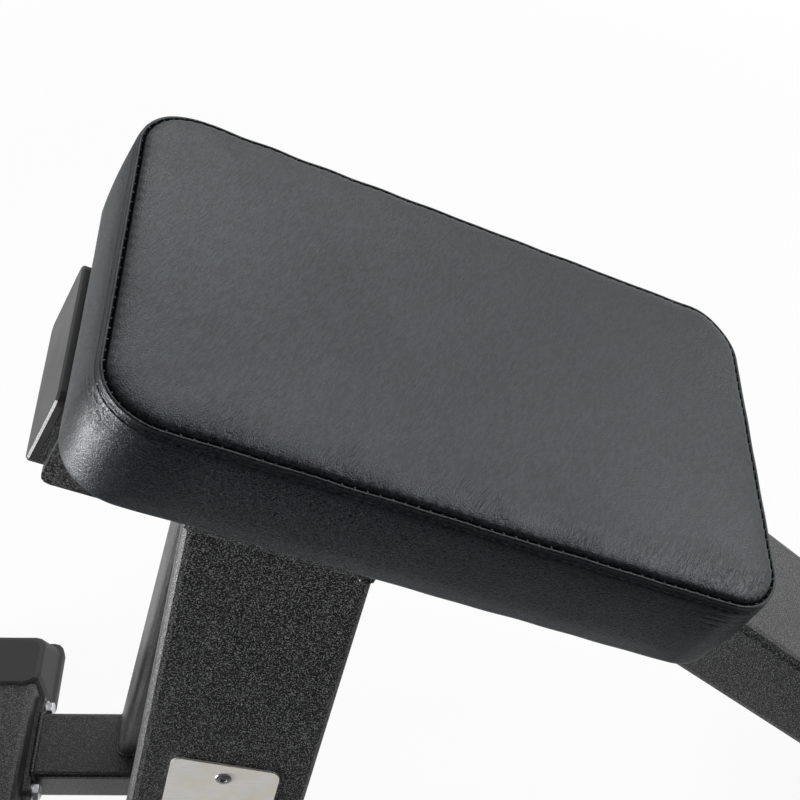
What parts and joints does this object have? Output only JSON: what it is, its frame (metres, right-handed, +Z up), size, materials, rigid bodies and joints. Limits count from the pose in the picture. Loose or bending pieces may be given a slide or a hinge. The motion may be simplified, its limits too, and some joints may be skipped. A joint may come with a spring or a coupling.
{
  "type": "t-bar row machine",
  "caption": "Chest-supported T-bar row machine: sloping pad on an A-frame, hinged lever with handles and a sleeve for weight plates, and a ribbed footrest.",
  "frame": {"origin": "on the floor, under the middle of the whole machine's box", "axes": "+X to the user's feet and the rear foot, +Y to the right of the user, who lies facing down with the head towards -X, +Z up"},
  "size_m": [1.691, 0.636, 0.9826],
  "materials": {
    "powder_coat": "fine-textured powder coat",
    "vinyl": "grained vinyl, semi-matte",
    "plywood": "raw plywood",
    "rubber": "matte",
    "plastic": "satin, moulded",
    "zinc": "zinc plated",
    "badge_steel": "brushed",
    "chrome": "polished",
    "bearing_steel": "ground"
  },
  "bodies": {
    "frame": {"spine_upper": "powder_coat", "spine_lower": "powder_coat", "spine_mount_plate": "powder_coat", "leg_top_plate": "powder_coat", "leg_left": "powder_coat", "leg_right": "powder_coat", "rail_left": "powder_coat", "rail_right": "powder_coat", "leg_cross_tube": "powder_coat", "base_beam": "powder_coat", "front_foot": "powder_coat", "rear_foot": "powder_coat", "pad_bracket": "powder_coat", "pivot_ear_left": "powder_coat", "pivot_ear_right": "powder_coat", "lever_stand": "powder_coat", "footrest_bracket_left": "powder_coat", "footrest_bracket_right": "powder_coat", "foot_plate_left": "powder_coat", "foot_plate_right": "powder_coat", "pad_cushion": "vinyl", "pad_board": "plywood", "foot_boot_front_left": "rubber", "foot_boot_front_right": "rubber", "foot_boot_rear_left": "rubber", "foot_boot_rear_right": "rubber", "stand_bumper": "rubber", "foot_tread_left": "rubber", "foot_tread_right": "rubber", "spine_end_cap": "plastic", "rail_cap_left": "plastic", "rail_cap_right": "plastic", "rail_bolt_inner_left": "zinc", "rail_bolt_outer_left": "zinc", "rail_bolt_inner_right": "zinc", "rail_bolt_outer_right": "zinc", "bracket_bolt_front_left": "zinc", "bracket_bolt_front_right": "zinc", "bracket_bolt_rear_left": "zinc", "bracket_bolt_rear_right": "zinc", "shaft_screw_left": "zinc", "shaft_screw_right": "zinc", "badge_plate": "badge_steel", "badge_screw_top": "badge_steel", "badge_screw_base": "badge_steel", "pivot_shaft": "bearing_steel"},
    "lever": {"lever_beam": "powder_coat", "pivot_hub": "powder_coat", "pivot_bearing_left": "bearing_steel", "pivot_bearing_right": "bearing_steel", "beam_cap_rear": "plastic", "beam_cap_front": "plastic", "lever_upright": "powder_coat", "handle_bar": "powder_coat", "wide_grip_left": "rubber", "wide_grip_right": "rubber", "neutral_grip_left": "rubber", "neutral_grip_right": "rubber", "weight_sleeve": "chrome", "sleeve_end_cap": "plastic"}
  },
  "joints": [
    {"name": "lever_swing", "type": "hinge", "parent": "frame", "child": "lever", "pos_m": [0.56212, 0, 0.15], "axis": [0, 1, 0], "range_deg": [0, 28]}
  ]
}
